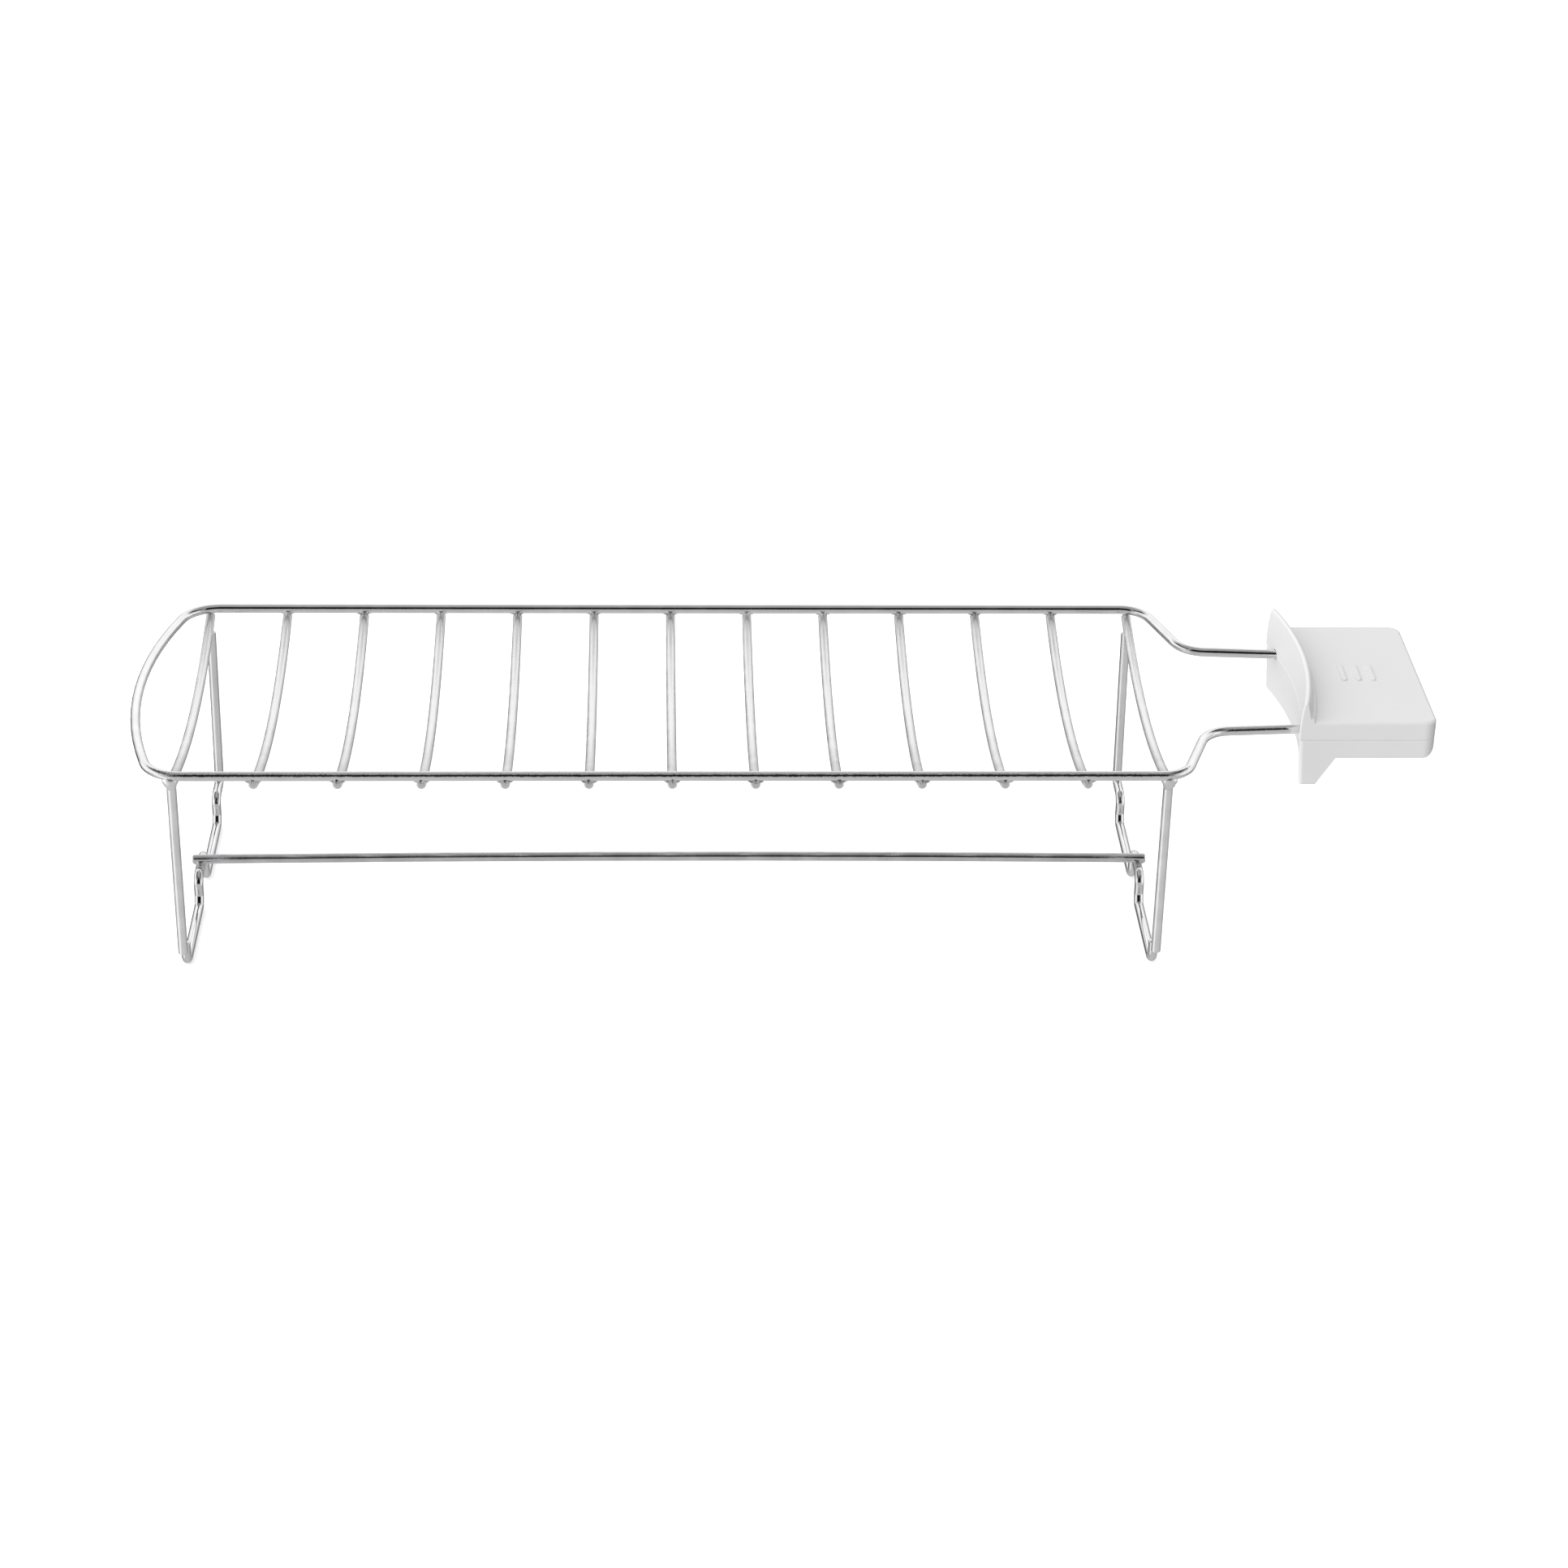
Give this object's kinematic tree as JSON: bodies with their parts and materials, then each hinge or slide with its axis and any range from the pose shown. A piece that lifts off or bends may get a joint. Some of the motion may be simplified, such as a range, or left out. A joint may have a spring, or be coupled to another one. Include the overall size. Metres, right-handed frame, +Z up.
{
  "type": "toaster bun warming rack",
  "caption": "Welded chromed wire tray with sagging cross ribs, end wires with U-bend feet for toaster slots, a lower tie bar and a flat white handle with a finger guard.",
  "frame": {"origin": "centre of the bounding box in X and Y, on the plane that the feet stand on", "axes": "+X towards the handle along the rack, -Y to the front, +Z up"},
  "size_m": [0.4088, 0.121, 0.0823],
  "materials": {
    "frame_wire": "bright chrome plating on drawn steel wire",
    "rib_wire": "chrome plating, slightly satin from the drawing of the wire",
    "handle_shell": "fine satin moulded white plastic",
    "screw": "zinc plated steel"
  },
  "bodies": {
    "root": {"cross_rib_01": "rib_wire", "cross_rib_02": "rib_wire", "cross_rib_03": "rib_wire", "cross_rib_04": "rib_wire", "cross_rib_05": "rib_wire", "cross_rib_06": "rib_wire", "cross_rib_07": "rib_wire", "cross_rib_08": "rib_wire", "cross_rib_09": "rib_wire", "cross_rib_10": "rib_wire", "cross_rib_11": "rib_wire", "end_rib_left": "rib_wire", "end_rib_right": "rib_wire", "frame_wire": "frame_wire", "front_leg_left": "frame_wire", "front_leg_right": "frame_wire", "handle_bottom_shell": "handle_shell", "handle_screws": "screw", "handle_top_shell": "handle_shell", "lower_bar": "frame_wire", "slot_foot_wire_left": "frame_wire", "slot_foot_wire_right": "frame_wire"}
  },
  "joints": []
}
